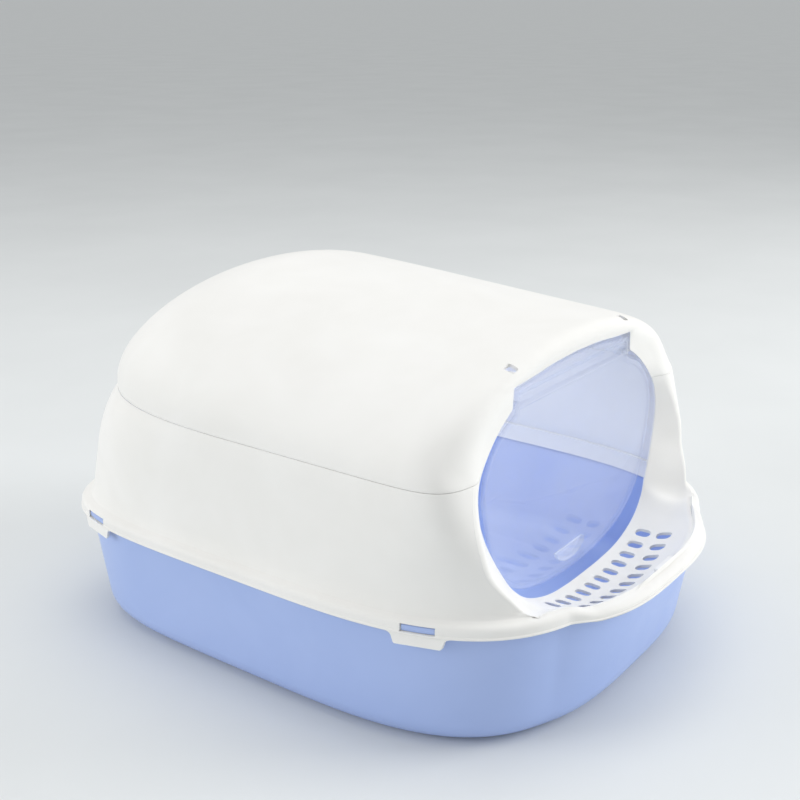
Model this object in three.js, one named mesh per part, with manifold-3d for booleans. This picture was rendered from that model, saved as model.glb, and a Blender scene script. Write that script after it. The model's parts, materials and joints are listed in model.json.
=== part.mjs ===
// Hooded cat litter box: an open tray, a two-part hood with a tunnel-shaped dome, a U-shaped
// entry step with drain slots, and a clear swinging flap on two bearing hooks.
// Millimetres. +Z is up, the entrance faces -Y, and the origin is on the floor under the
// middle of the tray rim.
import * as THREE from 'three';
import Module from 'manifold-3d';
import { mergeVertices } from 'three/addons/utils/BufferGeometryUtils.js';
import { ParametricGeometry } from 'three/addons/geometries/ParametricGeometry.js';

const wasm = await Module();
wasm.setup();

// ---- driving dimensions -------------------------------------------------------------------
const WALL = 2.6;            // moulded wall of tray, skirt, dome and step
const GAP = 0.3;             // clearance between parts that touch
const AROUND = 64;           // points round a plan outline

const RIM = { half: 215, front: 265, rear: 265, frontPower: 3.45, rearPower: 4.9 };
const RIM_BOTTOM = 105.5;    // lower edge of the hood's rim
const RIM_TOP = 117;         // where the rim's cove starts
const LIP = { reach: 22, half: 118.5, power: 3, drop: 4.5, ease: 22, dropFrom: 103.5,
  dropOver: 9 };             // bow of the rim in front, and how its top dips there
const RIM_OUTSIDE = [[0, RIM_BOTTOM], [0, 112.5], [1, 115], [3.5, 116.4], [8, 118.5]];
const RIM_INSIDE = [[0, 93.5], [0, 112.8], [1, 113.6], [8, 114]];   // inset from the rim, height
const RIM_COVE = { inset: 8, bow: 16 };

const CREASE = 221;          // height of the line between skirt and dome
const SKIRT_INNER_EDGE = 103;
const TRAY_CLEAR = 91.5;     // below everything on the hood's rim
const DOME = { half: 203, halfFront: 197, rear: 243, rise: 107, slope: 0.08, slopeFrom: 200 };
const DOME_PLAN_POWER = 3;   // plan of the dome's rear end
const ARCH_STEPS = 32;
const ARCH_POWER = 2.05;     // roundness of the dome's sections
const LEAN_END = -100;       // where the dome's sections stop leaning with the ring
const TOP_STATION = 0.13;    // extra section near the front, as a share of the top's rounding
const DOME_SHARES = [0.2, 0.4, 0.5, 0.6, 0.7, 0.78, 0.85, 0.9, 0.94, 0.97, 0.99, 0.9995];
const DOME_REAR = { start: 115, power: 1.7 };       // side profile of the dome's rear end
const FACE = { y: -188, lean: 0.09, leanBelow: 250 };  // plane of the ring's outer edge
const RING_CENTRE = 190;     // height about which the ring's two outlines are matched
const OPENING = { y: -185, top: 258, lean: 0.0433, curl: 3.28e-4 };   // surface of its inner edge
const BAND_AROUND = 76;      // points round the band between the outlines
const BAND_STEPS = [0, 0.2, 0.4, 0.6, 0.8, 0.93, 1];
const BOWL_SAG = 29;         // how far the band sinks below a straight line in the step
const CUT = { low: 112, domeLow: 200, front: -410, back: -150, wellLow: 62, wellHigh: 127,
  wellEdge: 125 };           // reach of the cuts that open skirt, rim and dome at the ring
const FOOT_BLEND = 35;       // height over which the dome widens to meet the skirt
const FRONT_ROUND = { side: 38, top: 12, sideScale: 0.83, topScale: 0.965 };

const HINGE = { y: -177.8, z: 258, pinR: 2.2, pinFrom: 84, pinTo: 108 };
const FLAP = { y: -184.6, lean: 0.03, thick: 3, panel: 1.6, border: 5, half: 93.5, notch: 252.5,
  shoulder: 271.5, crown: 278.5 };
const RIDGE_SINK = 0.9;      // how deep the ridge's middle sits behind the flap's front
const PULL = { half: 24, top: 106.5, drop: 12, out: 4 };   // finger pull on the flap
const BEARING = { from: 98.8, to: 106.8, holeR: 2.7, outerR: 5, mouth: 4, front: -182.1,
  back: -176, shoulder: 279, arm: 275.5, armTo: 89, headTo: 95, top: 284.5 };
const DOME_WINDOW = { from: 87.5, to: 96.5, front: -183, back: -174 };
const TRAY = { half: 208.5, front: 258.5, rear: 258.5, top: 113, foot: 203, footFront: 249,
  footRear: 237, footPower: 5.2, footBow: 4, bow: 19.5, round: 22, middle: 65 };
const WINDOW = { into: 0.5, out: 4 };   // how far a tongue's window cut runs past its wall
const CATCH = { places: [-168, 186], long: 26, low: 106.5, high: 112.5, root: 8 };
const TONGUE = { long: 37, root: 46, bottom: 96, shoulder: 101.5, windowLow: 107, windowHigh: 113.5 };
const SLOT = { columns: 11, pitch: 16.4, wide: 9, long: 14.5, low: 65, through: 60,
  rows: [{ y: -218.5, bend: 1.5 }, { y: -242.5, bend: 5 }] };

// ---- solids -------------------------------------------------------------------------------
function toSolid(geometry) {
  const bare = geometry.clone();
  bare.deleteAttribute('normal');
  bare.deleteAttribute('uv');
  const merged = mergeVertices(bare, 1e-3);
  const index = merged.index.array;
  const position = merged.attributes.position;
  const kept = [];
  for (let i = 0; i < index.length; i += 3) {
    const [a, b, c] = [index[i], index[i + 1], index[i + 2]];
    if (a !== b && b !== c && c !== a) kept.push(a, b, c);
  }
  const corner = (i) => new THREE.Vector3().fromBufferAttribute(position, i);
  let volume = 0;
  for (let i = 0; i < kept.length; i += 3) {
    volume += corner(kept[i]).dot(corner(kept[i + 1]).cross(corner(kept[i + 2])));
  }
  if (volume < 0) kept.reverse();
  return new wasm.Manifold(new wasm.Mesh({
    numProp: 3,
    vertProperties: new Float32Array(position.array),
    triVerts: new Uint32Array(kept),
  }));
}

function toGeometry(solid) {
  const mesh = solid.getMesh();
  const geometry = new THREE.BufferGeometry();
  geometry.setAttribute('position', new THREE.BufferAttribute(mesh.vertProperties, 3));
  geometry.setIndex(new THREE.BufferAttribute(mesh.triVerts, 1));
  geometry.computeVertexNormals();
  return geometry;
}

function unite(solids) {
  return solids.reduce((sum, solid) => sum.add(solid));
}

function boxSolid(low, high) {
  const size = high.map((value, i) => value - low[i]);
  const geometry = new THREE.BoxGeometry(...size);
  geometry.translate(...low.map((value, i) => value + size[i] / 2));
  return toSolid(geometry);
}

// A closed skin through rows of points; the first and last rows are single points.
function skin(rows, across) {
  const geometry = new ParametricGeometry((u, v, target) => {
    target.copy(rows[Math.round(v * (rows.length - 1))][Math.round(u * across) % across]);
  }, across, rows.length - 1);
  return toSolid(geometry);
}

function lerp(a, b, t) {
  return a + (b - a) * t;
}

// ---- plan outlines ------------------------------------------------------------------------
// How much lower the rim's top is on the bowed lip.
function lipDrop(x) {
  return LIP.drop * THREE.MathUtils.smoothstep(LIP.half - Math.abs(x), 0, LIP.ease);
}

// A point of a rounded plan outline: four superellipse quarters, bowed out in front.
function planPoint(turn, level) {
  const power = Math.sin(turn) < 0 ? level.frontPower : level.rearPower;
  const spread = Math.sqrt(2 / power);
  const c = Math.sign(Math.cos(turn)) * Math.abs(Math.cos(turn)) ** spread;
  const s = Math.sign(Math.sin(turn)) * Math.abs(Math.sin(turn)) ** spread;
  const reach = (Math.abs(c) ** power + Math.abs(s) ** power) ** (-1 / power);
  const x = level.half * reach * c;
  let y = (s < 0 ? level.front : level.rear) * reach * s;
  let z = level.z;
  if (s < 0 && level.bow) {
    y -= level.bow * Math.max(0, 1 - (Math.abs(x) / LIP.half) ** LIP.power);
    z -= lipDrop(x) * THREE.MathUtils.clamp((z - LIP.dropFrom) / LIP.dropOver, 0, 1);
  }
  return new THREE.Vector3(x, y, z);
}

function planRow(level) {
  const row = [];
  for (let i = 0; i < AROUND; i += 1) row.push(planPoint((i / AROUND) * 2 * Math.PI, level));
  return row;
}

// A closed solid from plan outlines stacked upward.
function stack(levels) {
  const low = levels[0];
  const high = levels[levels.length - 1];
  const pole = (z) => new Array(AROUND).fill(new THREE.Vector3(0, 0, z));
  return skin([pole(low.z), ...levels.map(planRow), pole(high.z)], AROUND);
}

function inset(level, by) {
  return { ...level, half: level.half - by, front: level.front - by, rear: level.rear - by };
}

// ---- tray ---------------------------------------------------------------------------------
function trayLevels(by) {
  const levels = [];
  const side = (z, extra) => {
    const t = z / TRAY.top;
    return { z, half: lerp(TRAY.foot, TRAY.half, t) - by - extra,
      front: lerp(TRAY.footFront, TRAY.front, t) - by - extra,
      rear: lerp(TRAY.footRear, TRAY.rear, t) - by - extra,
      frontPower: RIM.frontPower, rearPower: lerp(TRAY.footPower, RIM.rearPower, t),
      bow: lerp(TRAY.footBow, TRAY.bow, t) };
  };
  const radius = TRAY.round - by;
  for (const degrees of [0, 20, 40, 60, 80, 90]) {
    const angle = THREE.MathUtils.degToRad(degrees);
    levels.push(side(by + radius * (1 - Math.cos(angle)), radius * (1 - Math.sin(angle))));
  }
  levels.push(side(TRAY.middle, 0), side(TRAY.top, 0));
  return levels;
}

function rimX(y, by = 0) {
  const power = y < 0 ? RIM.frontPower : RIM.rearPower;
  const reach = (y < 0 ? RIM.front : RIM.rear) - by;
  return (RIM.half - by) * (1 - (Math.abs(y) / reach) ** power) ** (1 / power);
}

// A block that follows the rim outline about y, from depth `inner` to depth `outer`.
function rimBlock(middle, side, long, inner, outer, low, high) {
  const steps = 6;
  const ring = [];
  for (let i = 0; i <= steps; i += 1) {
    const y = middle + long * (i / steps - 0.5);
    ring.push(new THREE.Vector2(side * rimX(y, inner), y));
  }
  for (let i = steps; i >= 0; i -= 1) {
    const y = middle + long * (i / steps - 0.5);
    ring.push(new THREE.Vector2(side * rimX(y, outer), y));
  }
  const shape = new THREE.Shape(ring);
  const geometry = new THREE.ExtrudeGeometry(shape, { depth: high - low, bevelEnabled: false });
  geometry.translate(0, 0, low);
  return toSolid(geometry);
}

// The same block at all four catches.
function rimBlocks(long, inner, outer, low, high) {
  return unite(CATCH.places.flatMap((y) => [-1, 1].map((side) => (
    rimBlock(y, side, long, inner, outer, low, high)))));
}

// The tray, with small ledges on its wall that sit in the windows of the hood's tongues.
function makeTray() {
  const innerLevels = trayLevels(WALL);
  innerLevels.push({ ...innerLevels[innerLevels.length - 1], z: TRAY.top + WALL });
  const tray = stack(trayLevels(0)).subtract(stack(innerLevels));
  return tray.add(rimBlocks(CATCH.long, CATCH.root, WALL + 2 * GAP, CATCH.low, CATCH.high));
}

// ---- hood skirt ---------------------------------------------------------------------------
const rimLevel = { ...RIM, bow: LIP.reach };

// The skirt's outside, from its inner edge up to the crease; the front closes in as a jaw.
const SKIRT = [
  { z: SKIRT_INNER_EDGE, half: 203.2, front: 253.5, rear: 252.8, frontPower: 3.45, rearPower: 4.8 },
  { z: RIM_TOP, half: 205.2, front: 255.2, rear: 255, frontPower: 3.45, rearPower: 4.8 },
  { z: 133, half: 204.5, front: 253, rear: 255, frontPower: 3.7, rearPower: 4.6 },
  { z: 153, half: 204, front: 238, rear: 254, frontPower: 4.6, rearPower: 4.3 },
  { z: 174, half: 203.5, front: 221, rear: 253, frontPower: 6.5, rearPower: 4 },
  { z: 195, half: 203, front: 207, rear: 251, frontPower: 9, rearPower: 3.6 },
  { z: 209, half: 202.3, front: 200, rear: 248, frontPower: 11, rearPower: 3.3 },
  { z: CREASE, half: 200.5, front: 196, rear: 244.5, frontPower: 12, rearPower: 3 },
];

function skirtAt(z) {
  let i = 1;
  while (i < SKIRT.length - 1 && SKIRT[i].z < z) i += 1;
  const [a, b] = [SKIRT[i - 1], SKIRT[i]];
  const t = (z - a.z) / (b.z - a.z);
  const level = { z };
  for (const key of ['half', 'front', 'rear', 'frontPower', 'rearPower']) {
    level[key] = lerp(a[key], b[key], t);
  }
  return level;
}

// The rim over the tray's edge: a vertical face, a rounded shoulder, and a cove to the skirt.
function rimOutside() {
  return stack(RIM_OUTSIDE.map(([by, z]) => (
    { ...inset(rimLevel, by), z, bow: by < RIM_COVE.inset ? LIP.reach : RIM_COVE.bow })));
}

// The space inside the rim that takes the tray's edge.
function rimChannel() {
  const hollow = stack(RIM_INSIDE.map(([by, z]) => ({ ...inset(rimLevel, WALL + by), z })));
  return hollow.subtract(stack([{ ...SKIRT[0], z: TRAY_CLEAR }, ...SKIRT.slice(0, 3)]));
}

function tongues() {
  return rimBlocks(TONGUE.root, WALL, 0, TONGUE.shoulder, TONGUE.windowLow)
    .add(rimBlocks(TONGUE.long, WALL, 0, TONGUE.bottom, TONGUE.windowLow));
}

function tongueWindows() {
  return rimBlocks(CATCH.long, WALL + WINDOW.into, -WINDOW.out, TONGUE.windowLow,
    TONGUE.windowHigh);
}

// ---- entrance ring ------------------------------------------------------------------------
function faceY(z) {
  return FACE.y - FACE.lean * Math.max(0, FACE.leanBelow - z);
}

function openingY(z) {
  const down = Math.max(0, OPENING.top - z);
  return OPENING.y - OPENING.lean * down - OPENING.curl * down ** 2;
}

// Half of the opening's outline, seen from the front: bell-shaped crown, short straight sides
// beside the hinge line, then an egg-shaped lower part.
function openingHalf() {
  const path = new THREE.Path();
  const p = (x, z) => new THREE.Vector2(x, z);
  path.moveTo(0, 280.8);
  path.splineThru([p(38, 279.4), p(70, 276.4), p(97, 274.6)]);
  path.lineTo(98.3, HINGE.z);
  path.splineThru([p(117, 246.5), p(132, 233.5), p(143.5, 220), p(150, 206), p(150.8, 190),
    p(145.5, 170), p(136, 150), p(124.5, 131), p(114, 116), p(99, 103.5), p(82, 95.6),
    p(58, 89.3), p(28, 86.6), p(0, 86.2)]);
  return path.getPoints(6);
}

// Half of the ring's outer edge, where it meets the dome, the cheeks and the rim's lip.
function ringEdge() {
  const v = (x, y, z) => new THREE.Vector3(x, y, z);
  const onFace = (x, z) => v(x, faceY(z), z);
  const onSkirt = (x, z) => {
    const level = skirtAt(z);
    const y = -level.front * (1 - (x / level.half) ** level.frontPower) ** (1 / level.frontPower);
    return v(x, y, z);
  };
  const half = [onFace(0, 293.5), onFace(60, 289.5), onFace(104, 276), onFace(133, 260),
    onFace(149, 242), onSkirt(160, CREASE), onSkirt(166, 205), onSkirt(169.5, 189),
    onSkirt(170, 171), onSkirt(166.5, 153), onSkirt(156, 134), onSkirt(141, RIM_TOP)];
  const lip = [[120, -241.5], [101, -252], [82, -261], [44, -270.5], [0, -273.5]];
  half.push(...lip.map(([x, y]) => v(x, y, RIM_TOP - 1 - lipDrop(x))));
  return new THREE.CatmullRomCurve3(half, false, 'centripetal').getPoints(90);
}

// The point of a half outline that lies at a given turn from the top, about the ring's centre.
function atTurn(outline, turn, getXZ) {
  const direction = new THREE.Vector2(Math.sin(turn), Math.cos(turn));
  for (let i = 1; i < outline.length; i += 1) {
    const [ax, az] = getXZ(outline[i - 1]);
    const [bx, bz] = getXZ(outline[i]);
    const a = direction.x * (az - RING_CENTRE) - direction.y * ax;
    const b = direction.x * (bz - RING_CENTRE) - direction.y * bx;
    if (a >= 0 && b <= 0 && a !== b) return outline[i - 1].clone().lerp(outline[i], a / (a - b));
  }
  return outline[outline.length - 1].clone();
}

// The band from the opening's edge (v = 0) to the ring's outer edge (v = 1).
function bandPoint(opening, edge, turn, v) {
  const half = Math.min(turn, 2 * Math.PI - turn);
  const side = turn <= Math.PI ? 1 : -1;
  const inner = atTurn(opening, half, (q) => [q.x, q.y]);
  const outer = atTurn(edge, half, (q) => [q.x, q.z]);
  const from = new THREE.Vector3(inner.x, openingY(inner.y), inner.y);
  const point = from.lerp(outer, v);
  const floor = Math.max(0, -Math.cos(half)) ** 1.5;
  point.z -= BOWL_SAG * floor * v ** 0.75 * (1 - v ** 3);
  point.x *= side;
  return point;
}

function bandSolid() {
  const opening = openingHalf();
  const edge = ringEdge();
  const front = BAND_STEPS.map((v) => {
    const row = [];
    for (let i = 0; i < BAND_AROUND; i += 1) {
      row.push(bandPoint(opening, edge, (i / BAND_AROUND) * 2 * Math.PI, v));
    }
    return row;
  });
  const back = front.map((row, j) => row.map((point, i) => {
    const next = row[(i + 1) % BAND_AROUND];
    const last = row[(i + BAND_AROUND - 1) % BAND_AROUND];
    const out = front[Math.min(j + 1, front.length - 1)][i];
    const into = front[Math.max(j - 1, 0)][i];
    const along = next.clone().sub(last);
    const normal = out.clone().sub(into).cross(along).normalize();
    if (normal.y - normal.z > 0) normal.negate();
    return point.clone().addScaledVector(normal, -WALL);
  }));
  const rows = [...front, ...back.reverse(), front[0]];
  return skin(rows, BAND_AROUND);
}

// A solid through the ring's outer outline, used to open the front of skirt and dome.
function ringPrism(grow, lowest) {
  const edge = ringEdge().filter((point) => point.z > lowest);
  const half = edge.map((point) => {
    const away = new THREE.Vector2(point.x, point.z - RING_CENTRE);
    away.setLength(away.length() + grow);
    return new THREE.Vector2(away.x, away.y + RING_CENTRE);
  });
  half[0].x = 0;
  const left = half.slice(1).reverse().map((point) => new THREE.Vector2(-point.x, point.y));
  const shape = new THREE.Shape();
  shape.setFromPoints([...half, ...left]);
  const geometry = new THREE.ExtrudeGeometry(shape, { depth: CUT.back - CUT.front,
    bevelEnabled: false });
  geometry.rotateX(Math.PI / 2);
  geometry.translate(0, CUT.back, 0);
  return toSolid(geometry);
}

// A solid down through the well that holds the step, used to open the rim behind its lip.
function wellPrism(grow) {
  const edge = ringEdge().filter((point) => point.z <= CUT.wellEdge);
  const right = edge.map((point) => new THREE.Vector2(point.x + grow, point.y - grow));
  right[right.length - 1].x = 0;
  const left = right.slice(0, -1).reverse().map((point) => new THREE.Vector2(-point.x, point.y));
  const shape = new THREE.Shape();
  const top = right[0];
  shape.setFromPoints([new THREE.Vector2(top.x, CUT.back), ...right, ...left,
    new THREE.Vector2(-top.x, CUT.back)]);
  const geometry = new THREE.ExtrudeGeometry(shape, { depth: CUT.wellHigh - CUT.wellLow,
    bevelEnabled: false });
  geometry.translate(0, 0, CUT.wellLow);
  return toSolid(geometry);
}

function makeSkirt(prism, well) {
  const cabin = stack([{ ...inset(SKIRT[0], WALL), z: SKIRT_INNER_EDGE - 10 },
    ...SKIRT.map((level) => inset(level, WALL)),
    { ...inset(SKIRT[SKIRT.length - 1], WALL), z: CREASE + 10 }]);
  return [rimChannel(), cabin, tongueWindows(), prism, well].reduce(
    (skirt, cut) => skirt.subtract(cut), unite([rimOutside(), stack(SKIRT), tongues()]));
}

// ---- dome ---------------------------------------------------------------------------------
// Scales of the arch along the length: rounded rear end, and a small rounding at the front.
function domeScale(y, by) {
  const rear = DOME.rear - by;
  if (y > 0) {
    const t = Math.max(0, (y - DOME_REAR.start) / (rear - DOME_REAR.start));
    return {
      side: (1 - Math.min(1, y / rear) ** DOME_PLAN_POWER) ** (1 / DOME_PLAN_POWER),
      top: (1 - Math.min(1, t) ** DOME_REAR.power) ** (1 / DOME_REAR.power),
    };
  }
  const ease = (length, scale) => {
    const t = Math.min(1, Math.max(0, (FACE.y + length - y) / (length - by)));
    return lerp(scale, 1, Math.sqrt(1 - t * t));
  };
  return { side: ease(FRONT_ROUND.side, FRONT_ROUND.sideScale),
    top: ease(FRONT_ROUND.top, FRONT_ROUND.topScale) };
}

// How much wider the skirt's top is at y than a dome section of the given half width.
function footSpread(y, half) {
  const top = SKIRT[SKIRT.length - 1];
  if (y > 0) return 0;
  const skirtHalf = top.half * (1 - (-y / top.front) ** top.frontPower) ** (1 / top.frontPower);
  return Math.max(0, skirtHalf - half);
}

// One closed cross-section of the dome at y; `by` insets it and `foot` is its lower edge.
function archRow(y, by, foot) {
  const scale = domeScale(y, by);
  const taper = (DOME_REAR.start - y) / (DOME_REAR.start - FACE.y);
  const half = (lerp(DOME.half, DOME.halfFront, taper) - by) * scale.side;
  const rise = (DOME.rise + DOME.slope * (y - DOME.slopeFrom) - by) * scale.top;
  const extra = footSpread(y - by, half + by);
  const row = [];
  for (let i = 0; i <= ARCH_STEPS; i += 1) {
    const turn = (i / ARCH_STEPS) * Math.PI;
    const c = Math.cos(turn);
    const s = Math.sin(turn);
    const reach = (Math.abs(c) ** ARCH_POWER + s ** ARCH_POWER) ** (-1 / ARCH_POWER);
    const z = CREASE + rise * reach * s;
    const lean = y < LEAN_END ? faceY(z) - FACE.y : 0;
    const share = (LEAN_END - y) / (LEAN_END - FACE.y);
    const near = Math.max(0, 1 - (z - CREASE) / FOOT_BLEND) ** 2;
    row.push(new THREE.Vector3((half + extra * near) * reach * c, y + lean * share, z));
  }
  const leftFoot = row[row.length - 1];
  const rightFoot = row[0];
  row.push(new THREE.Vector3(leftFoot.x, leftFoot.y, foot));
  row.push(new THREE.Vector3(0, rightFoot.y, foot));
  row.push(new THREE.Vector3(rightFoot.x, rightFoot.y, foot));
  return row;
}

function domeSolid(by, foot) {
  const stations = [];
  const front = FACE.y + by;
  for (const degrees of [0, 22, 45, 67, 90]) {
    const ahead = 1 - Math.cos(THREE.MathUtils.degToRad(degrees));
    stations.push(front + (FRONT_ROUND.side - by) * ahead);
  }
  stations.push(front + (FRONT_ROUND.top - by) * TOP_STATION);
  stations.push(LEAN_END, -50, 0);
  for (const share of DOME_SHARES) {
    stations.push((DOME.rear - by) * share);
  }
  stations.sort((a, b) => a - b);
  const rows = stations.map((y) => archRow(y, by, foot));
  const across = rows[0].length;
  const pole = (row) => {
    const middle = new THREE.Vector3(0, row[0].y, (CREASE + foot) / 2 + 1);
    return new Array(across).fill(middle);
  };
  return skin([pole(rows[0]), ...rows, pole(rows[rows.length - 1])], across);
}

function makeDome(prism, ring) {
  let dome = domeSolid(0, CREASE).subtract(domeSolid(WALL, CREASE - 20)).subtract(prism).add(ring);
  for (const side of [-1, 1]) {
    const [x0, x1] = span(side, DOME_WINDOW.from, DOME_WINDOW.to);
    dome = dome.subtract(boxSolid([x0, DOME_WINDOW.front, BEARING.arm],
      [x1, DOME_WINDOW.back, CREASE + DOME.rise]));
  }
  return dome;
}

// ---- entry step ---------------------------------------------------------------------------
function slotSolid(x, y) {
  const r = SLOT.wide / 2;
  const straight = (SLOT.long - SLOT.wide) / 2;
  const shape = new THREE.Shape();
  shape.absarc(0, straight, r, 0, Math.PI);
  shape.absarc(0, -straight, r, Math.PI, 2 * Math.PI);
  shape.closePath();
  const geometry = new THREE.ExtrudeGeometry(shape, { depth: SLOT.through, bevelEnabled: false,
    curveSegments: 5 });
  geometry.translate(x, y, SLOT.low);
  return toSolid(geometry);
}

function makeStep(lowerBand) {
  let step = lowerBand;
  const middle = (SLOT.columns - 1) / 2;
  for (const row of SLOT.rows) {
    for (let i = 0; i < SLOT.columns; i += 1) {
      const share = (i - middle) / middle;
      step = step.subtract(slotSolid(SLOT.pitch * middle * share, row.y + row.bend * share ** 2));
    }
  }
  return step;
}

// ---- flap and its bearings ----------------------------------------------------------------
// The flap's outline seen from the front: crown above the hinge line, egg-shaped panel below.
function flapShape(by) {
  const p = (x, z) => new THREE.Vector2(x - by, z);
  const path = new THREE.Path();
  path.moveTo(0, FLAP.crown - by);
  path.splineThru([p(37, 277.2 - by), p(68, 274 - by), p(FLAP.half, FLAP.shoulder - by)]);
  path.lineTo(FLAP.half - by, FLAP.notch - by / 2);
  path.splineThru([p(114, 243.5), p(129, 230.5), p(138.5, 216), p(142, 200), p(138.8, 179),
    p(133, 157), p(125, 135.5), p(113, 119 + by / 2), p(92, 104 + by), p(60, 94 + by),
    p(22, 88.8 + by), new THREE.Vector2(0, 88 + by)]);
  const half = path.getPoints(4);
  const left = half.slice(1, -1).reverse().map((q) => new THREE.Vector2(-q.x, q.y));
  return new THREE.Shape([...half, ...left]);
}

// A plate that stands in the plane of the flap, from depth `front` to depth `back`.
function plate(shape, front, back) {
  const geometry = new THREE.ExtrudeGeometry(shape, { depth: back - front, bevelEnabled: false,
    curveSegments: 8 });
  geometry.rotateX(Math.PI / 2);
  geometry.translate(0, FLAP.y + back, 0);
  const position = geometry.attributes.position;
  for (let i = 0; i < position.count; i += 1) {
    position.setY(i, position.getY(i) - FLAP.lean * (HINGE.z - position.getZ(i)));
  }
  return toSolid(geometry);
}

function rod(radius, from, to, y, z, sides = 20) {
  const geometry = new THREE.CylinderGeometry(radius, radius, to - from, sides);
  geometry.rotateZ(Math.PI / 2);
  geometry.translate((from + to) / 2, y, z);
  return toSolid(geometry);
}

// A span along X on the left (side -1) or right (side 1).
function span(side, a, b) {
  return [side * a, side * b].sort((p, q) => p - q);
}

function makeFlap() {
  const front = -FLAP.thick / 2;
  const back = FLAP.thick / 2;
  const pull = new THREE.Shape();
  pull.absellipse(0, PULL.top, PULL.half, PULL.drop, Math.PI, 2 * Math.PI);
  pull.closePath();
  const ridgeY = FLAP.y + front + RIDGE_SINK;
  const pieces = [
    plate(flapShape(0), front, back).subtract(plate(flapShape(FLAP.border), front - 1,
      back - FLAP.panel)),
    plate(pull, back - FLAP.panel / 2, back + PULL.out),
    rod(FLAP.thick / 2, -FLAP.half + 1, FLAP.half - 1, ridgeY, HINGE.z, 12),
  ];
  for (const side of [-1, 1]) {
    const [e0, e1] = span(side, HINGE.pinFrom, FLAP.half - 1);
    pieces.push(rod(HINGE.pinR, ...span(side, HINGE.pinFrom, HINGE.pinTo), HINGE.y, HINGE.z));
    pieces.push(boxSolid([e0, FLAP.y, HINGE.z - HINGE.pinR], [e1, HINGE.y, HINGE.z + HINGE.pinR]));
  }
  return unite(pieces);
}

// A clip behind the ring: a hook round the pin, open to the rear, and a stalk whose arm reaches
// a head that stands in the dome's window.
function makeBearing(side) {
  const [x0, x1] = span(side, BEARING.from, BEARING.to);
  const [a0, a1] = span(side, BEARING.armTo, BEARING.to);
  const [h0, h1] = span(side, BEARING.armTo, BEARING.headTo);
  const clip = unite([
    rod(BEARING.outerR, x0, x1, HINGE.y, HINGE.z, 24),
    boxSolid([x0, BEARING.front, HINGE.z], [x1, BEARING.back, BEARING.shoulder]),
    boxSolid([a0, BEARING.front, BEARING.arm], [a1, BEARING.back, BEARING.shoulder]),
    boxSolid([h0, BEARING.front, BEARING.arm], [h1, BEARING.back, BEARING.top]),
  ]);
  const reach = 2 * BEARING.outerR;
  const mouth = boxSolid([x0 - 1, HINGE.y, HINGE.z - BEARING.mouth / 2],
    [x1 + 1, HINGE.y + reach, HINGE.z + BEARING.mouth / 2]);
  const ahead = boxSolid([x0 - 1, BEARING.front - reach, HINGE.z - reach],
    [x1 + 1, BEARING.front, HINGE.z + reach]);
  const bore = rod(BEARING.holeR, x0 - 1, x1 + 1, HINGE.y, HINGE.z);
  return clip.subtract(mouth).subtract(ahead).subtract(bore);
}

// ---- the object ---------------------------------------------------------------------------
const object = new THREE.Group();

function addPiece(name, solid, colour, roughness, extra = {}) {
  const material = new THREE.MeshStandardMaterial({ color: colour, roughness, metalness: 0,
    ...extra });
  const mesh = new THREE.Mesh(toGeometry(solid), material);
  mesh.name = name;
  object.add(mesh);
}

const WHITE = 0xf2f0ea;
const BLUE = 0x8aa0d6;

const BEYOND = 400;
const band = bandSolid();
const entrance = ringPrism(0, CUT.low).add(wellPrism(0));
const aboveCrease = boxSolid([-BEYOND, -BEYOND, CREASE], [BEYOND, BEYOND, BEYOND]);
const belowCrease = boxSolid([-BEYOND, -BEYOND, 0], [BEYOND, BEYOND, CREASE - GAP]);

addPiece('litter_tray', makeTray(), BLUE, 0.45);
addPiece('hood_skirt', makeSkirt(ringPrism(GAP, CUT.low), wellPrism(GAP)), WHITE, 0.4);
addPiece('hood_dome', makeDome(ringPrism(-1, CUT.domeLow), band.intersect(aboveCrease)), WHITE, 0.4);
addPiece('entry_step', makeStep(band.intersect(belowCrease).intersect(entrance)), WHITE, 0.4);
addPiece('flap_door', makeFlap(), 0xe6ecf5, 0.08, { transparent: true, opacity: 0.35 });
addPiece('flap_bearing_left', makeBearing(-1), WHITE, 0.4);
addPiece('flap_bearing_right', makeBearing(1), WHITE, 0.4);

export default object;
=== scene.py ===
"""Hooded cat litter box: a tray, a two-part hood, an entry step with drain slots and a clear flap."""
import json
import math
import bmesh
import bpy
import numpy as np
from mathutils import Matrix, Vector

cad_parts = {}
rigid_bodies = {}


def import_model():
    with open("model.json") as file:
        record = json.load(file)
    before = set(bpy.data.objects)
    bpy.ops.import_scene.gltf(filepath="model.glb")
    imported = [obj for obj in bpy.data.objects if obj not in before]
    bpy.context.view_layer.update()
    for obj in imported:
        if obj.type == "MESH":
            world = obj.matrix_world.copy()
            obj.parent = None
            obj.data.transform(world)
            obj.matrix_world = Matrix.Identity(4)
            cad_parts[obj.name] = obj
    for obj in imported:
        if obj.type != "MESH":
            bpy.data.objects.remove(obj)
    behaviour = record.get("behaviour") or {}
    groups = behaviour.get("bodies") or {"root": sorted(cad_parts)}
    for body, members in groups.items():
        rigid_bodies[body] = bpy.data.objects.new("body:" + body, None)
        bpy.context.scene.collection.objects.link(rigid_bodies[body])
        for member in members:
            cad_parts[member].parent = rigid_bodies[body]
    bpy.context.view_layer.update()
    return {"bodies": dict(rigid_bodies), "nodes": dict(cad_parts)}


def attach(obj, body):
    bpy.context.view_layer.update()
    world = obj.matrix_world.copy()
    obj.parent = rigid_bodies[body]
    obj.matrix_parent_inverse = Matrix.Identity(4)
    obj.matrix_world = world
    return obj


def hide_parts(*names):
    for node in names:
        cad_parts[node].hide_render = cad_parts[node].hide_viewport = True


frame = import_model()

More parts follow.
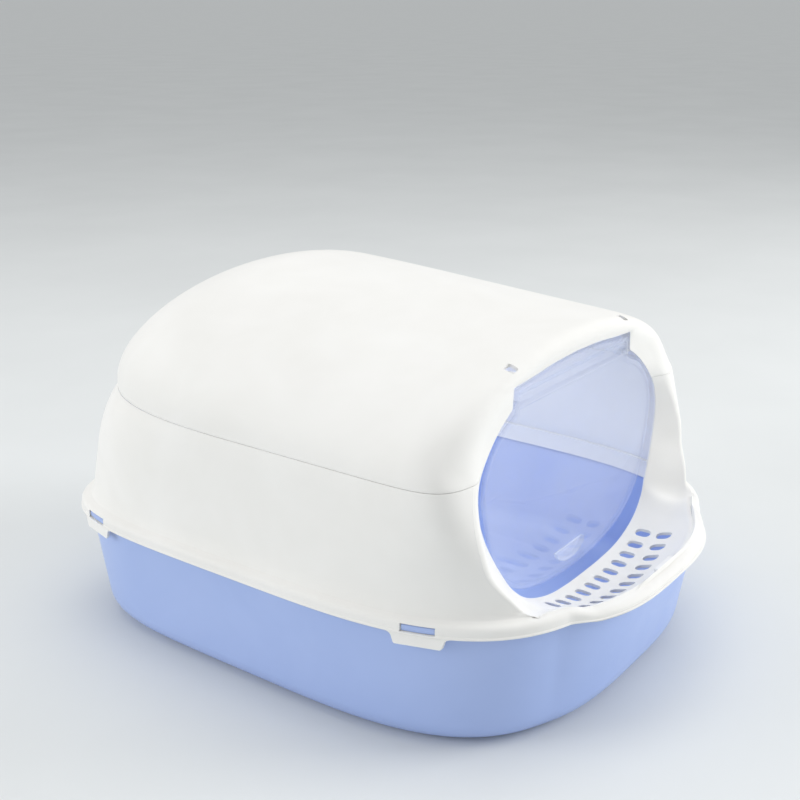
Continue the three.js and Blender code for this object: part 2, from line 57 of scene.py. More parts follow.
# ---- dimensions, in millimetres ----
MM = 0.001
WALL = 2.6
RIM_HALF, RIM_END, RIM_FRONT_POWER, RIM_REAR_POWER = 215.0, 265.0, 3.45, 4.9
RIM_BOTTOM, RIM_TOP = 105.5, 117.0
LIP_REACH, LIP_HALF, LIP_POWER, LIP_DROP, LIP_EASE = 22.0, 118.5, 3.0, 4.5, 22.0
CREASE = 221.0
FACE_Y, FACE_LEAN, FACE_LEAN_BELOW = -188.0, 0.09, 250.0
RING_CENTRE = 190.0
BOWL_SAG = 29.0
HINGE_Y, HINGE_Z, PIN_R = -177.8, 258.0, 2.2
WALL_FOOT_Z = 119.5
CATCH_Y = (-168.0, 186.0)
OPENING_TOP_Y, OPENING_LEAN, OPENING_CURL = -185.0, 0.0433, 3.28e-4

# The skirt's outline by height: z, half width, front, rear, front power, rear power.
SKIRT = np.array([
    [101.0, 203.2, 253.4, 252.7, 3.45, 4.8],
    [117.0, 205.2, 255.2, 255.0, 3.45, 4.8],
    [133.0, 204.5, 253.0, 255.0, 3.7, 4.6],
    [153.0, 204.0, 238.0, 254.0, 4.6, 4.3],
    [174.0, 203.5, 221.0, 253.0, 6.5, 4.0],
    [195.0, 203.0, 207.0, 251.0, 9.0, 3.6],
    [209.0, 202.3, 200.0, 248.0, 11.0, 3.3],
    [221.0, 200.5, 196.0, 244.5, 12.0, 3.0],
])


# ---- small maths ----
def smoothstep(x, low, high):
    t = np.clip((np.asarray(x, float) - low) / (high - low), 0, 1)
    return t * t * (3 - 2 * t)


def lerp(a, b, t):
    return a + (b - a) * t


def hermite(xs, ys, x):
    """A smooth curve through samples that doesn't overshoot them."""
    xs, ys, x = np.asarray(xs, float), np.asarray(ys, float), np.asarray(x, float)
    step = np.diff(xs)
    slope = np.diff(ys) / step
    tangent = np.zeros_like(ys)
    tangent[0], tangent[-1] = slope[0], slope[-1]
    same = slope[:-1] * slope[1:] > 0
    mean = 2 * slope[:-1] * slope[1:] / np.where(same, slope[:-1] + slope[1:], 1)
    tangent[1:-1] = np.where(same, mean, 0)
    i = np.clip(np.searchsorted(xs, x, side="right") - 1, 0, len(xs) - 2)
    t = np.clip((x - xs[i]) / step[i], 0, 1)
    h00, h10 = 2 * t**3 - 3 * t**2 + 1, t**3 - 2 * t**2 + t
    h01, h11 = -2 * t**3 + 3 * t**2, t**3 - t**2
    return h00 * ys[i] + h10 * step[i] * tangent[i] + h01 * ys[i + 1] + h11 * step[i] * tangent[i + 1]


def catmull(points, per=24):
    """A centripetal Catmull-Rom curve through points."""
    p = np.asarray(points, float)
    p = np.vstack([2 * p[0] - p[1], p, 2 * p[-1] - p[-2]])
    out = []
    for i in range(1, len(p) - 2):
        a, b, c, d = p[i - 1:i + 3]
        k0 = 0.0
        k1 = k0 + max(1e-6, np.linalg.norm(b - a)) ** 0.5
        k2 = k1 + max(1e-6, np.linalg.norm(c - b)) ** 0.5
        k3 = k2 + max(1e-6, np.linalg.norm(d - c)) ** 0.5
        for t in np.linspace(k1, k2, per, endpoint=False):
            e1 = (k1 - t) / (k1 - k0) * a + (t - k0) / (k1 - k0) * b
            e2 = (k2 - t) / (k2 - k1) * b + (t - k1) / (k2 - k1) * c
            e3 = (k3 - t) / (k3 - k2) * c + (t - k2) / (k3 - k2) * d
            f1 = (k2 - t) / (k2 - k0) * e1 + (t - k0) / (k2 - k0) * e2
            f2 = (k3 - t) / (k3 - k1) * e2 + (t - k1) / (k3 - k1) * e3
            out.append((k2 - t) / (k2 - k1) * f1 + (t - k1) / (k2 - k1) * f2)
    out.append(p[-2])
    return np.array(out)


def along(line):
    """Distance along a polyline at each of its points."""
    return np.concatenate([[0], np.cumsum(np.linalg.norm(np.diff(line, axis=0), axis=1))])


def resample(line, at):
    """Points of a polyline at given distances along it."""
    s = along(line)
    return np.stack([np.interp(at, s, line[:, k]) for k in range(line.shape[1])], axis=1)


def unit(v):
    return v / np.maximum(np.linalg.norm(v, axis=-1, keepdims=True), 1e-12)


# ---- outlines ----
def lip_drop(x):
    """How far the rim dips at x where it bows out in front."""
    return LIP_DROP * smoothstep(LIP_HALF - np.abs(x), 0, LIP_EASE)


def plan(turn, half, front, rear, front_power, rear_power, z, bow=0.0):
    """Points of a rounded plan outline, with a bow in front."""
    turn = np.asarray(turn, float)
    low = np.sin(turn) < 0
    power = np.where(low, front_power, rear_power)
    spread = np.sqrt(2 / power)
    c = np.sign(np.cos(turn)) * np.abs(np.cos(turn)) ** spread
    s = np.sign(np.sin(turn)) * np.abs(np.sin(turn)) ** spread
    reach = (np.abs(c) ** power + np.abs(s) ** power) ** (-1 / power)
    x = half * reach * c
    y = np.where(low, front, rear) * reach * s
    out = np.full(turn.shape, float(z))
    if bow:
        y = y - np.where(low, bow * np.clip(1 - (np.abs(x) / LIP_HALF) ** LIP_POWER, 0, None), 0)
        lower = lip_drop(x) * np.clip((out - RIM_BOTTOM + 2) / 9, 0, 1)
        out = out - np.where(low, lower, 0)
    return np.stack([x, y, out], axis=-1)


def skirt_level(z):
    """Half width, front, rear and the two powers of the skirt's outline at height z."""
    return [float(hermite(SKIRT[:, 0], SKIRT[:, k], z)) for k in range(1, 6)]


def face_y(z):
    """The y of the dome's front face at height z; it leans forwards below a height."""
    return FACE_Y - FACE_LEAN * np.clip(FACE_LEAN_BELOW - np.asarray(z, float), 0, None)


def opening_y(z):
    """The y of the entrance's edge at height z."""
    down = np.clip(HINGE_Z - np.asarray(z, float), 0, None)
    return OPENING_TOP_Y - OPENING_LEAN * down - OPENING_CURL * down**2


def opening_half():
    """Half of the entrance's outline, from the crown down: points (x, y, z)."""
    top = catmull([(0, 280.8), (38, 279.4), (70, 276.4), (97, 274.6)], 20)
    low = catmull([(98.3, 258), (117, 246.5), (132, 233.5), (143.5, 220), (150, 206),
                   (150.8, 190), (145.5, 170), (136, 150), (124.5, 131), (114, 116),
                   (99, 103.5), (82, 95.6), (58, 89.3), (28, 86.6), (0, 86.2)], 20)
    side = np.array([[lerp(97, 98.3, t), lerp(274.6, 258, t)] for t in np.linspace(0, 1, 12)[1:-1]])
    xz = np.vstack([top, side, low])
    return np.stack([xz[:, 0], opening_y(xz[:, 1]), xz[:, 1]], axis=1)


def skirt_front(x, z):
    """The y of the skirt's front at x and height z."""
    half, front, _, power, _ = skirt_level(z)
    return -front * (1 - min(1, abs(x) / half) ** power) ** (1 / power)


def ring_half():
    """Half of the ring's outer edge, from the top down: points (x, y, z)."""
    points = [(x, float(face_y(z)), z) for x, z in
              [(0, 293.5), (60, 289.5), (104, 276), (133, 260), (149, 242)]]
    points += [(x, skirt_front(x, z), z) for x, z in
               [(160, 221), (166, 205), (169.5, 189), (170, 171), (166.5, 153), (156, 134),
                (141, 117)]]
    points += [(x, y, RIM_TOP - 1 - float(lip_drop(x))) for x, y in
               [(120, -241.5), (101, -252), (82, -261), (44, -270.5), (0, -273.5)]]
    return catmull(points, 24)


OPENING = opening_half()
RING = ring_half()


def turns_of(line):
    """The turn of each point from the top about the ring's centre."""
    return np.arctan2(line[:, 0], line[:, 2] - RING_CENTRE)


def rising(values):
    """The values, each raised a hair above the one before where they would fall."""
    return np.maximum.accumulate(values + np.arange(len(values)) * 1e-9)


def at_turn(line, turn):
    """Points of a half outline at turns from the top about the ring's centre, mirrored past it."""
    turn = np.asarray(turn, float)
    own = rising(turns_of(line))
    out = np.stack([np.interp(np.abs(turn), own, line[:, k]) for k in range(3)], axis=-1)
    out[:, 0] *= np.sign(turn)
    return out


def band(inner, outer, turn, v):
    """Points a share v of the way from the entrance's edge to the ring's, sagging at the bottom."""
    v = np.broadcast_to(np.asarray(v, float), turn.shape)
    point = lerp(inner, outer, v[:, None])
    point[:, 2] -= BOWL_SAG * np.clip(-np.cos(turn), 0, None) ** 1.5 * v**0.75 * (1 - v**3)
    return point


# The turns at which the ring's edge and the entrance's edge cross the crease.
RING_LIMIT = math.atan2(160, CREASE - RING_CENTRE)
OPENING_LIMIT = math.atan2(float(np.interp(-CREASE, -OPENING[:, 2], OPENING[:, 0])),
                           CREASE - RING_CENTRE)


# ---- meshes ----
class Sheet:
    """Vertices and quads in millimetres, gathered into one mesh."""

    def __init__(self):
        self.points, self.faces = [], []

    def grid(self, rows, wrap=False):
        rows = np.asarray(rows, float)
        m, n = rows.shape[:2]
        first = sum(len(p) for p in self.points)
        self.points.append(rows.reshape(-1, 3))
        for i in range(m - 1):
            for j in range(n if wrap else n - 1):
                k = (j + 1) % n
                self.faces.append((first + i * n + j, first + i * n + k,
                                   first + (i + 1) * n + k, first + (i + 1) * n + j))
        return self

    def fan(self, ring, centre):
        first = sum(len(p) for p in self.points)
        ring = np.asarray(ring, float)
        self.points.append(np.vstack([ring, [centre]]))
        n = len(ring)
        for j in range(n):
            self.faces.append((first + j, first + (j + 1) % n, first + n))
        return self

    def mesh(self, name, closed=True, weld=2e-3):
        mesh = bpy.data.meshes.new(name)
        points = np.vstack(self.points) * MM
        mesh.from_pydata(points.tolist(), [], self.faces)
        bm = bmesh.new()
        bm.from_mesh(mesh)
        bmesh.ops.remove_doubles(bm, verts=bm.verts, dist=weld * MM)
        bmesh.ops.dissolve_degenerate(bm, edges=bm.edges, dist=1e-7)
        if closed:
            bmesh.ops.recalc_face_normals(bm, faces=bm.faces)
        bm.to_mesh(mesh)
        bm.free()
        return mesh


def make_object(name, mesh):
    obj = bpy.data.objects.new(name, mesh)
    bpy.context.scene.collection.objects.link(obj)
    return obj


def apply_modifiers(obj):
    depsgraph = bpy.context.evaluated_depsgraph_get()
    mesh = bpy.data.meshes.new_from_object(obj.evaluated_get(depsgraph))
    obj.modifiers.clear()
    obj.data = mesh
    return obj


def thicken(obj):
    """Gives an open sheet the wall's thickness, inwards from its outer face."""
    mod = obj.modifiers.new("wall", "SOLIDIFY")
    mod.thickness = WALL * MM
    mod.offset = -1.0
    mod.use_even_offset = False
    mod.use_rim = True
    return apply_modifiers(obj)


def boolean(obj, other, operation):
    mod = obj.modifiers.new("cut", "BOOLEAN")
    mod.operation = operation
    mod.object = other
    mod.solver = "MANIFOLD"
    apply_modifiers(obj)
    bpy.data.objects.remove(other)
    return obj


def soften(obj, width, angle=50, segments=2, keep=None):
    """Rounds the edges sharper than angle, where keep(midpoint) allows."""
    bm = bmesh.new()
    bm.from_mesh(obj.data)
    bm.normal_update()
    limit = math.radians(angle)
    edges = [e for e in bm.edges if len(e.link_faces) == 2 and e.calc_face_angle(0) > limit
             and (keep is None or keep((e.verts[0].co + e.verts[1].co) / (2 * MM)))]
    bmesh.ops.bevel(bm, geom=edges, offset=width * MM, segments=segments, profile=0.5,
                    affect="EDGES", clamp_overlap=True)
    bm.to_mesh(obj.data)
    bm.free()
    return obj


def smooth_shade(obj, angle):
    obj.data.shade_smooth()
    obj.data.set_sharp_from_angle(angle=math.radians(angle))


def facing_out(mesh, towards):
    """Turns an open sheet's faces so that their normals point away from a point."""
    bm = bmesh.new()
    bm.from_mesh(mesh)
    bmesh.ops.recalc_face_normals(bm, faces=bm.faces)
    bm.normal_update()
    votes = sum(f.calc_area() * (f.calc_center_median() - towards).dot(f.normal) for f in bm.faces)
    if votes < 0:
        bmesh.ops.reverse_faces(bm, faces=bm.faces)
    bm.to_mesh(mesh)
    bm.free()
    return mesh


def outward(mesh):
    """Turns a closed mesh's faces outwards."""
    bm = bmesh.new()
    bm.from_mesh(mesh)
    bmesh.ops.recalc_face_normals(bm, faces=bm.faces)
    bm.to_mesh(mesh)
    bm.free()
    return mesh


def rectangle(x0, x1, y0, y1):
    return [(x0, y0), (x1, y0), (x1, y1), (x0, y1)]


def prism(outline, low, high):
    """A closed solid over a plan outline, from height low to height high."""
    outline = np.asarray(outline, float)
    n = len(outline)
    points = np.vstack([np.c_[outline, np.full(n, low)], np.c_[outline, np.full(n, high)]])
    faces = [tuple(range(n - 1, -1, -1)), tuple(range(n, 2 * n))]
    faces += [(i, (i + 1) % n, n + (i + 1) % n, n + i) for i in range(n)]
    mesh = bpy.data.meshes.new("prism")
    mesh.from_pydata((points * MM).tolist(), [], faces)
    return outward(mesh)


def join(objects, name):
    """One object from several closed bodies that don't touch."""
    bm = bmesh.new()
    for o in objects:
        bm.from_mesh(o.data)
    mesh = bpy.data.meshes.new(name)
    bm.to_mesh(mesh)
    bm.free()
    for o in objects:
        bpy.data.objects.remove(o)
    return make_object(name, mesh)


# ---- materials ----
def nodes_of(name):
    material = bpy.data.materials.new(name)
    material.use_nodes = True
    tree = material.node_tree
    shader = tree.nodes["Principled BSDF"]
    return material, tree, shader


def noise(tree, scale, detail=4.0, rough=0.55, distortion=0.0):
    """Noise in the object's own coordinates."""
    node = tree.nodes.new("ShaderNodeTexNoise")
    node.inputs["Scale"].default_value = scale
    node.inputs["Detail"].default_value = detail
    node.inputs["Roughness"].default_value = rough
    node.inputs["Distortion"].default_value = distortion
    coord = tree.nodes.new("ShaderNodeTexCoord")
    tree.links.new(coord.outputs["Object"], node.inputs["Vector"])
    return node.outputs["Fac"]


def ramp(tree, value, low, high, at=(0.3, 0.7)):
    node = tree.nodes.new("ShaderNodeValToRGB")
    node.color_ramp.elements[0].position, node.color_ramp.elements[1].position = at
    node.color_ramp.elements[0].color = low
    node.color_ramp.elements[1].color = high
    tree.links.new(value, node.inputs["Fac"])
    return node.outputs["Color"]


def spread(tree, value, low, high, at=(0.3, 0.7)):
    node = tree.nodes.new("ShaderNodeMapRange")
    for key, number in zip(("From Min", "From Max", "To Min", "To Max"), (*at, low, high)):
        node.inputs[key].default_value = number
    tree.links.new(value, node.inputs["Value"])
    return node.outputs["Result"]


def mix_colour(tree, factor, a, b):
    node = tree.nodes.new("ShaderNodeMix")
    node.data_type = "RGBA"
    tree.links.new(factor, node.inputs["Factor"])
    for socket, colour in (("A", a), ("B", b)):
        target = [i for i in node.inputs if i.name == socket and i.type == "RGBA"][0]
        if isinstance(colour, tuple):
            target.default_value = colour
        else:
            tree.links.new(colour, target)
    return [o for o in node.outputs if o.type == "RGBA"][0]


def bump(tree, height, strength, distance, normal=None):
    node = tree.nodes.new("ShaderNodeBump")
    node.inputs["Strength"].default_value = strength
    node.inputs["Distance"].default_value = distance
    tree.links.new(height, node.inputs["Height"])
    if normal is not None:
        tree.links.new(normal, node.inputs["Normal"])
    return node.outputs["Normal"]


def moulded_plastic(name, dark, light, edge_highlight, roughness):
    """Injection-moulded plastic: flow clouding, fine satin grain, handling marks, and a painted highlight
    that lightens convex edges.
    """
    material, tree, shader = nodes_of(name)
    cloud = noise(tree, 9.0, 3.0, 0.6, 0.4)
    base = ramp(tree, cloud, dark, light, (0.32, 0.68))
    speck = noise(tree, 420.0, 2.0, 0.5)
    base = mix_colour(tree, spread(tree, speck, 0.0, 0.05, (0.55, 0.75)), base, dark)
    geometry = tree.nodes.new("ShaderNodeNewGeometry")
    # painted highlight: convex edges, found by pointiness, are lightened towards a paler colour
    edge = spread(tree, geometry.outputs["Pointiness"], 0.0, 0.6, (0.54, 0.66))
    colour = mix_colour(tree, edge, base, edge_highlight)
    tree.links.new(colour, shader.inputs["Base Color"])
    smear = noise(tree, 26.0, 5.0, 0.62, 0.8)
    tree.links.new(spread(tree, smear, roughness - 0.05, roughness + 0.07), shader.inputs["Roughness"])
    sink = bump(tree, noise(tree, 7.0, 2.0, 0.5), 0.12, 0.0012)
    grainy = bump(tree, noise(tree, 1500.0, 3.0, 0.6), 0.16, 0.00012, sink)
    tree.links.new(grainy, shader.inputs["Normal"])
    shader.inputs["IOR"].default_value = 1.49
    return material


def clear_plastic(name, veil_low, veil_high):
    """Clear moulded sheet: see-through, mirror-like at a slant, with a milky haze."""
    material = bpy.data.materials.new(name)
    material.use_nodes = True
    tree = material.node_tree
    tree.nodes.clear()
    out = tree.nodes.new("ShaderNodeOutputMaterial")
    clear = tree.nodes.new("ShaderNodeBsdfTransparent")
    clear.inputs["Color"].default_value = (0.965, 0.975, 1.0, 1.0)
    haze = tree.nodes.new("ShaderNodeBsdfPrincipled")
    haze.inputs["Base Color"].default_value = (0.80, 0.85, 0.97, 1.0)
    tree.links.new(spread(tree, noise(tree, 30.0, 4.0, 0.6, 0.5), 0.05, 0.12), haze.inputs["Roughness"])
    gloss = tree.nodes.new("ShaderNodeBsdfGlossy")
    gloss.inputs["Color"].default_value = (1.0, 1.0, 1.0, 1.0)
    gloss.inputs["Roughness"].default_value = 0.035
    ripple = bump(tree, noise(tree, 14.0, 2.0, 0.5, 0.3), 0.05, 0.0008)
    tree.links.new(ripple, gloss.inputs["Normal"])
    tree.links.new(ripple, haze.inputs["Normal"])
    milky = tree.nodes.new("ShaderNodeMixShader")
    veil = spread(tree, noise(tree, 11.0, 3.0, 0.55), veil_low, veil_high)
    tree.links.new(veil, milky.inputs["Fac"])
    tree.links.new(clear.outputs["BSDF"], milky.inputs[1])
    tree.links.new(haze.outputs["BSDF"], milky.inputs[2])
    fresnel = tree.nodes.new("ShaderNodeFresnel")
    fresnel.inputs["IOR"].default_value = 1.46
    # the sheet shines only where its front face is seen, not on the way out
    geometry = tree.nodes.new("ShaderNodeNewGeometry")
    outside = tree.nodes.new("ShaderNodeMath")
    outside.operation = "SUBTRACT"
    outside.inputs[0].default_value = 1.0
    tree.links.new(geometry.outputs["Backfacing"], outside.inputs[1])
    front_only = tree.nodes.new("ShaderNodeMath")
    front_only.operation = "MULTIPLY"
    tree.links.new(fresnel.outputs["Fac"], front_only.inputs[0])
    tree.links.new(outside.outputs["Value"], front_only.inputs[1])
    shine = tree.nodes.new("ShaderNodeMixShader")
    tree.links.new(front_only.outputs["Value"], shine.inputs["Fac"])
    tree.links.new(milky.outputs["Shader"], shine.inputs[1])
    tree.links.new(gloss.outputs["BSDF"], shine.inputs[2])
    tree.links.new(shine.outputs["Shader"], out.inputs["Surface"])
    return material


# the third colour of each plastic is the painted highlight on its convex edges
hood_plastic = moulded_plastic("white_moulding", (0.86, 0.85, 0.82, 1), (0.90, 0.892, 0.868, 1),
                               (0.94, 0.935, 0.92, 1), 0.46)
tray_plastic = moulded_plastic("blue_moulding", (0.385, 0.50, 0.835, 1), (0.415, 0.53, 0.865, 1),
                               (0.53, 0.62, 0.88, 1), 0.34)
flap_plastic = clear_plastic("clear_sheet", 0.10, 0.15)
frosted_plastic = clear_plastic("clear_sheet_frosted", 0.50, 0.62)


def finish_piece(obj, material, body, slot, *nodes, angle=38):
    """Gives a piece its material and shading, and puts it in the place of its CAD nodes."""
    obj.data.materials.clear()
    obj.data.materials.append(material)
    smooth_shade(obj, angle)
    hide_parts(*nodes)
    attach(obj, body)
    return obj


# ---- tray ----
TRAY_TURN = np.linspace(0, 2 * math.pi, 256, endpoint=False)
TRAY_HEIGHT, TRAY_EDGE_Z, TRAY_CORNER = 113.0, 111.7, 22.0
PANEL_STEP, PANEL_INSET = 1.2, 24.0
CATCH = dict(long=25.4, inner=8.0, outer=1.9, low=107.4, high=112.5)
# Each measure of the tray's outline at the floor and at its full height.
TRAY_HALF, TRAY_FRONT, TRAY_REAR = (203.0, 208.5), (249.0, 258.5), (237.0, 258.5)
TRAY_REAR_POWER, TRAY_BOW = (5.2, 4.9), (4.0, 19.5)


def tray_level(z, by):
    """The tray's plan outline at height z, inset by a distance."""
    t = z / TRAY_HEIGHT
    return dict(half=lerp(*TRAY_HALF, t) - by, front=lerp(*TRAY_FRONT, t) - by,
                rear=lerp(*TRAY_REAR, t) - by, front_power=RIM_FRONT_POWER,
                rear_power=lerp(*TRAY_REAR_POWER, t), z=z, bow=lerp(*TRAY_BOW, t))


def tray_rows(by):
    """The tray's wall from the floor up, with its rounded bottom edge, inset by a distance."""
    radius = TRAY_CORNER - by
    levels = []
    for a in np.linspace(0, math.pi / 2, 12):
        levels.append(tray_level(by + radius * (1 - math.cos(a)), by + radius * (1 - math.sin(a))))
    levels += [tray_level(z, by) for z in (32, 45, 60, 75, 90, 103, 110.5, TRAY_EDGE_Z)]
    return [plan(TRAY_TURN, **level) for level in levels]


def tray_floor(z):
    """A shallow raised panel in the middle of the floor, with eased edges."""
    rows = []
    for share, lift in ((0.93, 0.0), (0.915, 0.35), (0.90, 1.0), (0.5, 1.0), (0.1, 1.0)):
        level = tray_level(z, PANEL_INSET)
        level.update(half=level["half"] * share, front=level["front"] * share,
                     rear=level["rear"] * share, z=z + lift * PANEL_STEP, bow=0.0)
        rows.append(plan(TRAY_TURN, **level))
    return rows


def make_tray():
    outer, inner = tray_rows(0.0), tray_rows(WALL)
    top_mid = plan(TRAY_TURN, **tray_level(TRAY_EDGE_Z, WALL / 2))
    edge = []
    for a in np.linspace(0, math.pi, 9)[1:-1]:
        row = lerp(outer[-1], inner[-1], (1 - math.cos(a)) / 2)
        row[:, 2] = top_mid[:, 2] + WALL / 2 * math.sin(a)
        edge.append(row)
    rows = tray_floor(0.0)[::-1] + outer + edge + inner[::-1] + tray_floor(WALL)
    sheet = Sheet().grid(rows, wrap=True)
    sheet.fan(rows[0], (0, 0, PANEL_STEP)).fan(rows[-1], (0, 0, WALL + PANEL_STEP))
    tray = make_object("litter_tray_body", sheet.mesh("litter_tray_body"))
    for y in CATCH_Y:
        for side in (-1, 1):
            catch = rim_block(y, side, **CATCH)
            boolean(tray, soften(catch, 0.7, 40, 2), "UNION")
    return tray


def rim_x(y, by):
    """Half width of the rim's plan at y, inset by a distance."""
    power = np.where(y < 0, RIM_FRONT_POWER, RIM_REAR_POWER)
    return (RIM_HALF - by) * (1 - (np.abs(y) / (RIM_END - by)) ** power) ** (1 / power)


def rim_block(middle, side, long, inner, outer, low, high):
    """A block that follows the rim's plan about y = middle."""
    y = middle + long * (np.linspace(0, 1, 13) - 0.5)
    ring = np.vstack([np.c_[rim_x(y, inner), y], np.c_[rim_x(y, outer), y][::-1]])
    ring[:, 0] *= side
    if side < 0:
        ring = ring[::-1]
    return make_object("block", prism(ring, low, high))


# ---- entrance ring: crest ----
def crest_radius(z):
    """How far the ring's rounded crest reaches on either side of its edge."""
    return hermite([100, 112, 130, 170, 221, 260, 295], [3.0, 3.0, 4.5, 5.0, 6.0, 8.0, 9.0], z)


def skirt_row(z, count, extra=0.0):
    """One level of the skirt, from the right edge of the ring round the rear to the left one."""
    half, front, rear, fp, rp = skirt_level(z)
    turn = np.linspace(-math.pi / 2, math.pi / 2, 1500)
    line = plan(turn, half, front, rear, fp, rp, z)
    x_edge = crest_edge(min(max(z, WALL_FOOT_Z), CREASE))[0]
    s = along(line)
    ahead = line[:, 1] < -60
    start = float(np.interp(x_edge, line[ahead, 0], s[ahead])) + 0.08
    share = np.linspace(0, 1, count) ** 1.12
    right = resample(line, start + (s[-1] - start) * share)
    way = unit(np.gradient(right[:, :2], axis=0))
    eased = extra * smoothstep((s[-1] - start) * share, 0, 30)
    right[:, :2] += np.c_[way[:, 1], -way[:, 0]] * eased[:, None]
    left = right[::-1][1:] * (-1, 1, 1)
    return np.vstack([right, left])


def crest_edge(z):
    """The crest's foot (x, y) where it first falls to height z."""
    falling = np.maximum.accumulate(-CREST_FOOT[:, 2])
    return np.array([float(np.interp(-z, falling, CREST_FOOT[:, k])) for k in (0, 1)])


def crest_foot():
    """Where the rounded crest ends on the skirt and on the lip: half a curve beside the ring."""
    ring = RING[RING[:, 2] <= CREASE + 0.5]
    along_ring = unit(np.gradient(ring, axis=0))
    wall = np.zeros_like(ring)
    for i, (x, y, z) in enumerate(ring):
        half, front, _, power, _ = skirt_level(max(z, RIM_TOP))
        wall[i, 0] = (abs(x) / half) ** (power - 1) / half
        wall[i, 1] = -(min(1, abs(y) / front)) ** (power - 1) / front
    flat = smoothstep(-ring[:, 2], -(RIM_TOP + 13), -(RIM_TOP - 1))[:, None]
    normal = unit(unit(wall) * (1 - flat) + np.array([0, 0, 1.0]) * flat)
    away = unit(np.cross(along_ring, normal))
    away *= np.where(away[:, :1] > 0, 1, -1)
    away[-1] = (0, -1, 0)
    away = unit(away * (1, 1, 0))
    foot = ring + away * crest_radius(ring[:, 2])[:, None]
    on_wall = foot[:, 2] > RIM_TOP + 2.5
    for i in np.nonzero(on_wall)[0]:
        foot[i, 1] = skirt_front(foot[i, 0], foot[i, 2])
    foot[0, 2] = max(foot[0, 2], CREASE)
    for _ in range(6):
        inner = (foot[:-2] + 2 * foot[1:-1] + foot[2:]) / 4
        near = np.abs(foot[1:-1, 2] - RIM_TOP - 1) < 7
        foot[1:-1][near] = inner[near]
    foot[-1, 0] = 0
    return foot


CREST_FOOT = crest_foot()

# ---- hood skirt ----
SIDE_COUNT, LIP_COUNT = 170, 44
FLARE, FLARE_FROM_Z, FLARE_OVER = 2.6, 130.0, 11.5
MEET_BELOW_Z, MEET_OVER = 126.0, 14.0
CORNER = dict(near=136.0, far=145.4, front=-240.0, back=-231.0, below=0.6)
FLANGE_INSET = 0.1
TONGUE = dict(half=18.5, root_half=25.0, foot=96.0)
TONGUE_WINDOW = dict(long=26.6, inner=WALL + 1.5, outer=-4.0, low=107.0, high=113.5)


def rim_profile():
    """The rim's outside from its lower bead to its top: inset and height."""
    return [(0.9, 105.5), (0.35, 105.6), (0.05, 106.0), (0.05, 106.7), (0.35, 107.2),
            (0.85, 107.7), (0.9, 109.5), (0.9, 111.6), (1.15, 113.0), (1.9, 114.4), (3.1, 115.5),
            (4.6, 116.2), (6.1, 116.8), (7.3, 117.6)]


def make_skirt():
    """The skirt's wall, cove and rim as one sheet, thickened inwards."""
    wall_z = np.concatenate([np.linspace(CREASE - 0.35, FLARE_FROM_Z, 44),
                             np.linspace(FLARE_FROM_Z - 1.5, WALL_FOOT_Z, 9)])
    wall = []
    for z in wall_z:
        t = np.clip((FLARE_FROM_Z - z) / FLARE_OVER, 0, 1)
        flare = FLARE * (1 - math.sqrt(max(0.0, 1 - t * t)))
        row = skirt_row(z, SIDE_COUNT, flare)
        if z < MEET_BELOW_Z:
            meet_crest(row)
        wall.append(row)
    foot = wall[-1]
    # the lip's inner edge, from the right end of the wall's foot round the front to the left end
    lip = CREST_FOOT[CREST_FOOT[:, 2] < WALL_FOOT_Z - 0.05]
    right = np.vstack([foot[:1], lip])
    right = resample(right, np.linspace(0, along(right)[-1], LIP_COUNT))
    inner = np.vstack([foot, right[1:] * (-1, 1, 1), right[::-1][1:-1]])
    turn = rim_turns(inner)
    rim = []
    for inset, z in rim_profile():
        rim.append(plan(turn, RIM_HALF - inset, RIM_END - inset, RIM_END - inset, RIM_FRONT_POWER,
                        RIM_REAR_POWER, z, LIP_REACH - 0.75 * inset))
    last = rim[-1]
    bridge = []
    for t in (0.25, 0.5, 0.75):
        row = lerp(last, inner, t)
        row[:, 2] = last[:, 2] + (inner[:, 2] - last[:, 2]) * t ** 1.7
        bridge.append(row)
    sheet = Sheet()
    sheet.grid(wall).grid(rim + bridge + [inner], wrap=True)
    mesh = facing_out(sheet.mesh("hood_skirt_shell", closed=False), Vector((0, 0, 0.12)))
    skirt = thicken(make_object("hood_skirt_shell", mesh))
    settle_corners(skirt)
    soften(skirt, 0.45, 55, 2, lambda p: p.z > CREASE - 4 or p.z < 108)
    return skirt


def settle_corners(skirt):
    """Keeps the skirt below the crest's foot where wall, lip and crest meet at the front corners."""
    xs, zs = CREST_FOOT[::-1, 0], CREST_FOOT[::-1, 2]
    for vertex in skirt.data.vertices:
        x, y, z = vertex.co / MM
        if CORNER["near"] < abs(x) < CORNER["far"] and CORNER["front"] < y < CORNER["back"]:
            vertex.co.z = min(z, float(np.interp(abs(x), xs, zs)) - CORNER["below"]) * MM


def meet_crest(row):
    """Brings both ends of a low row of the wall onto the crest's foot."""
    shift = crest_edge(row[0, 2]) - row[0, :2]
    fade = 1 - smoothstep(along(row), 0, MEET_OVER)
    row[:, :2] += fade[:, None] * shift
    row[:, :2] += fade[::-1, None] * shift * (-1, 1)


def rim_turns(inner):
    """The turns of the rim's plan that lie straight out from the points inside it."""
    turn = np.linspace(-math.pi / 2, 3 * math.pi / 2, 6001)
    half, front, rear, front_power, rear_power = skirt_level(RIM_TOP)
    line = plan(turn, half, front, rear, front_power, rear_power, 0)
    own = np.unwrap(np.arctan2(line[:, 1] / front, line[:, 0] / half))
    want = np.arctan2(inner[:, 1] / front, inner[:, 0] / half)
    want = np.where(want < own[0], want + 2 * math.pi, want)
    return np.interp(want, own, turn)


def moved_in(row, by):
    """A row of the skirt, moved inwards across its own direction."""
    way = np.gradient(row[:, :2], axis=0)
    moved = row.copy()
    moved[:, :2] -= unit(np.c_[way[:, 1], -way[:, 0]]) * by
    return moved


